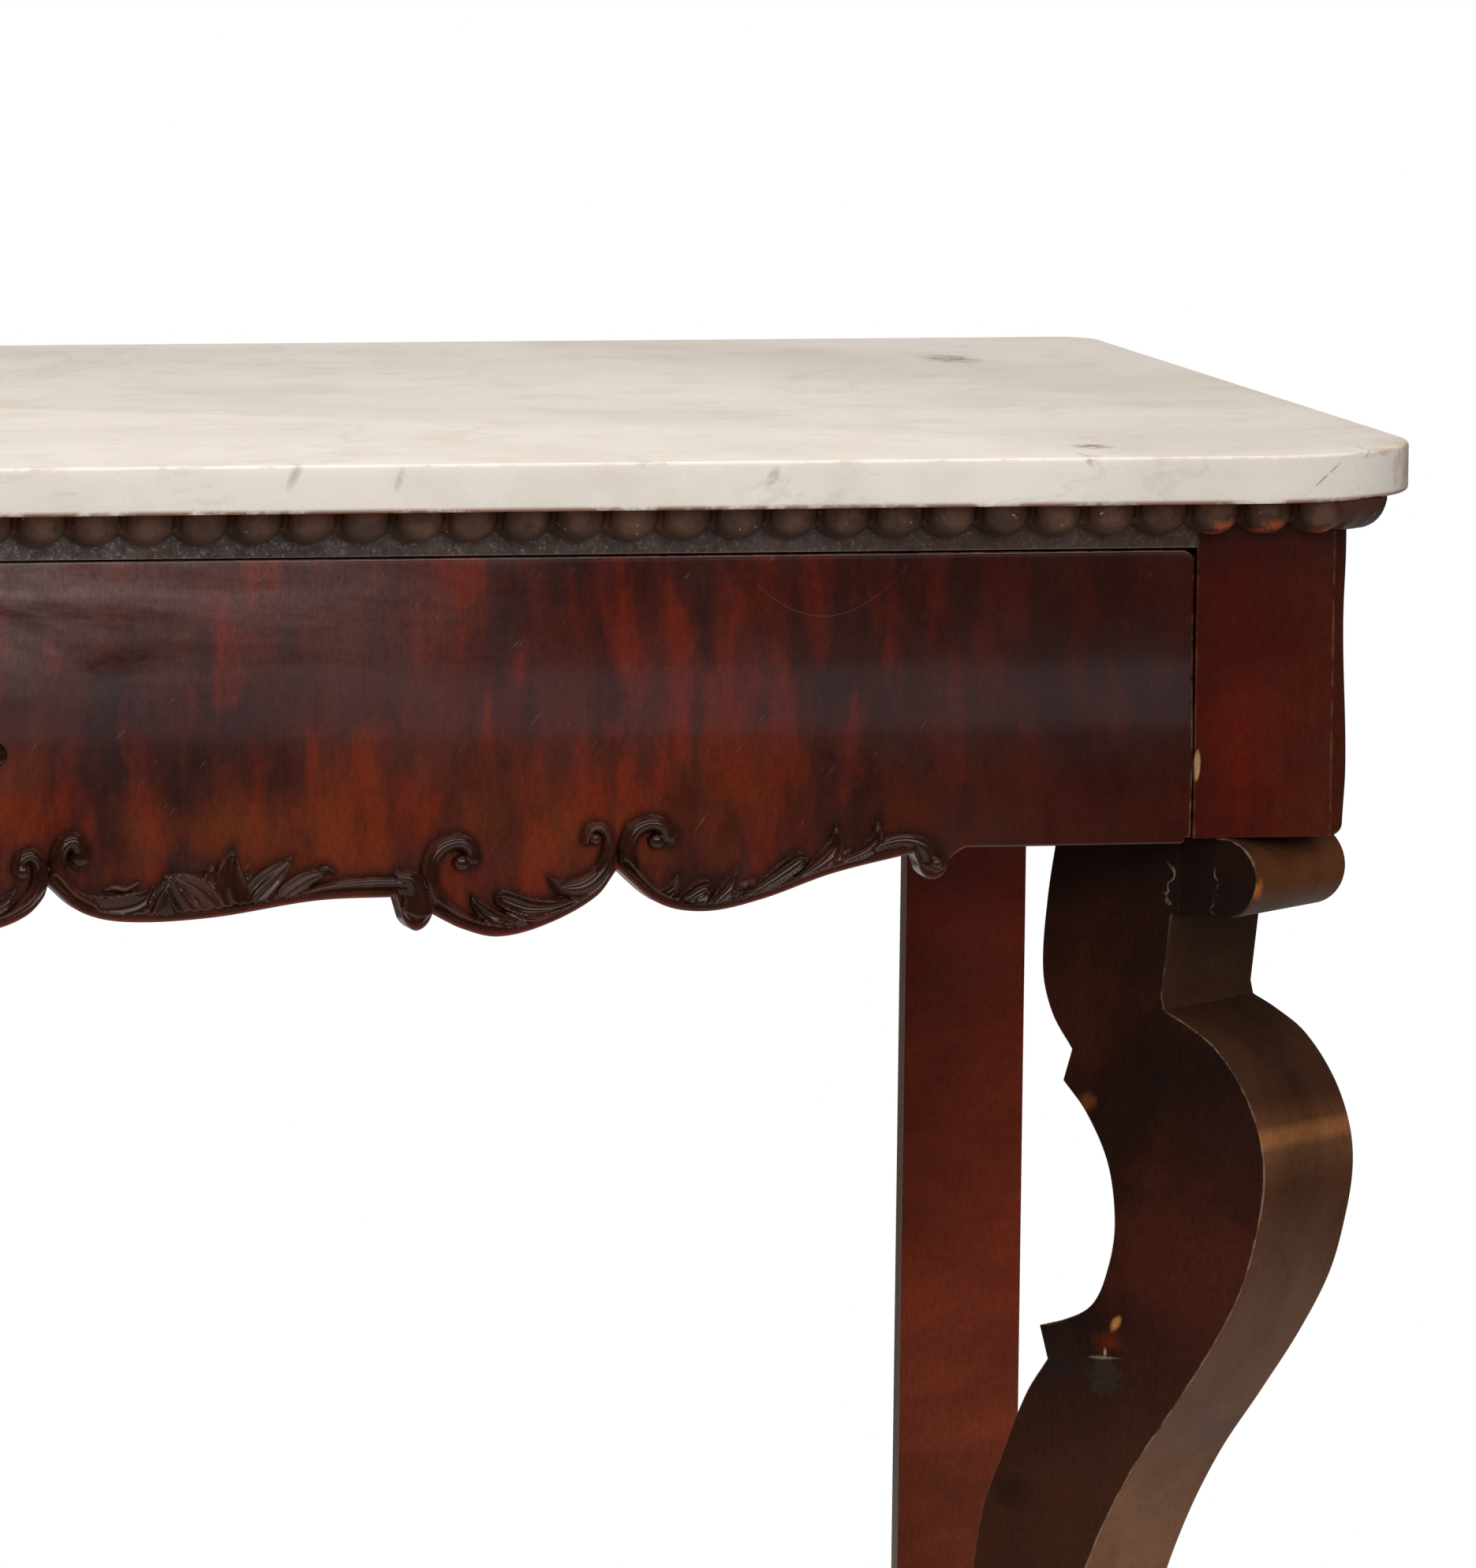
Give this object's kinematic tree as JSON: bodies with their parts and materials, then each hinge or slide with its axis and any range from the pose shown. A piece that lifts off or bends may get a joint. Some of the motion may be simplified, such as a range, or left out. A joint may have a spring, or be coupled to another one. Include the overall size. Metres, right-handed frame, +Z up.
{
  "type": "pier table",
  "caption": "Marble-topped mahogany pier table with diagonal S-scroll front legs, flat rear pilasters, a carved frieze drawer and a low platform.",
  "frame": {"origin": "on the floor under the centre of the table's box", "axes": "+X to the right of a person facing the drawer, +Y to the wall, +Z up"},
  "size_m": [1.4, 0.64, 0.9],
  "materials": {
    "marble": "honed white marble with faint grey veins",
    "moulding_mahogany": "carved dark mahogany, waxed",
    "carved_mahogany": "carved dark mahogany, polished high spots",
    "flame_mahogany": "French-polished mottled mahogany veneer",
    "frieze_mahogany": "French-polished red mahogany veneer",
    "leg_mahogany": "polished dark mahogany veneer",
    "pilaster_mahogany": "polished red-brown mahogany veneer",
    "base_mahogany": "polished mahogany veneer",
    "drawer_lining": "planed, unpolished, aged",
    "secondary_wood": "planed pine, oxidised"
  },
  "bodies": {
    "table": {"back_board": "secondary_wood", "bottom_board": "secondary_wood", "case_glue_blocks": "secondary_wood", "drawer_guide_left": "secondary_wood", "drawer_guide_right": "secondary_wood", "drawer_runner_left": "secondary_wood", "drawer_runner_right": "secondary_wood", "drawer_stop_left": "secondary_wood", "drawer_stop_right": "secondary_wood", "egg_moulding_front": "moulding_mahogany", "egg_moulding_left": "moulding_mahogany", "egg_moulding_right": "moulding_mahogany", "foot_front_left": "base_mahogany", "foot_front_right": "base_mahogany", "foot_rear_left": "base_mahogany", "foot_rear_right": "base_mahogany", "front_corner_block_left": "frieze_mahogany", "front_corner_block_right": "frieze_mahogany", "front_leg_left": "leg_mahogany", "front_leg_right": "leg_mahogany", "front_top_rail": "frieze_mahogany", "leg_roll_left": "leg_mahogany", "leg_roll_right": "leg_mahogany", "marble_bearer_left": "secondary_wood", "marble_bearer_middle": "secondary_wood", "marble_bearer_right": "secondary_wood", "marble_top": "marble", "platform_board": "base_mahogany", "platform_rail_back": "base_mahogany", "platform_rail_front": "base_mahogany", "platform_rail_left": "base_mahogany", "platform_rail_right": "base_mahogany", "plinth_block_left": "base_mahogany", "plinth_block_right": "base_mahogany", "rear_corner_block_left": "frieze_mahogany", "rear_corner_block_right": "frieze_mahogany", "rear_pilaster_left": "pilaster_mahogany", "rear_pilaster_right": "pilaster_mahogany", "rear_plinth_block_left": "base_mahogany", "rear_plinth_block_right": "base_mahogany", "rear_post_left": "secondary_wood", "rear_post_right": "secondary_wood", "side_panel_left": "frieze_mahogany", "side_panel_right": "frieze_mahogany"},
    "drawer": {"apron_carving_centre": "carved_mahogany", "apron_carving_left": "carved_mahogany", "apron_carving_right": "carved_mahogany", "drawer_back": "drawer_lining", "drawer_bottom_left": "drawer_lining", "drawer_bottom_right": "drawer_lining", "drawer_front": "flame_mahogany", "drawer_muntin": "drawer_lining", "drawer_rosette": "carved_mahogany", "drawer_side_left": "drawer_lining", "drawer_side_right": "drawer_lining"}
  },
  "joints": [
    {"name": "drawer_slide", "type": "slide", "parent": "table", "child": "drawer", "axis": [0, -1, 0], "range_m": [0, 0.35]}
  ]
}
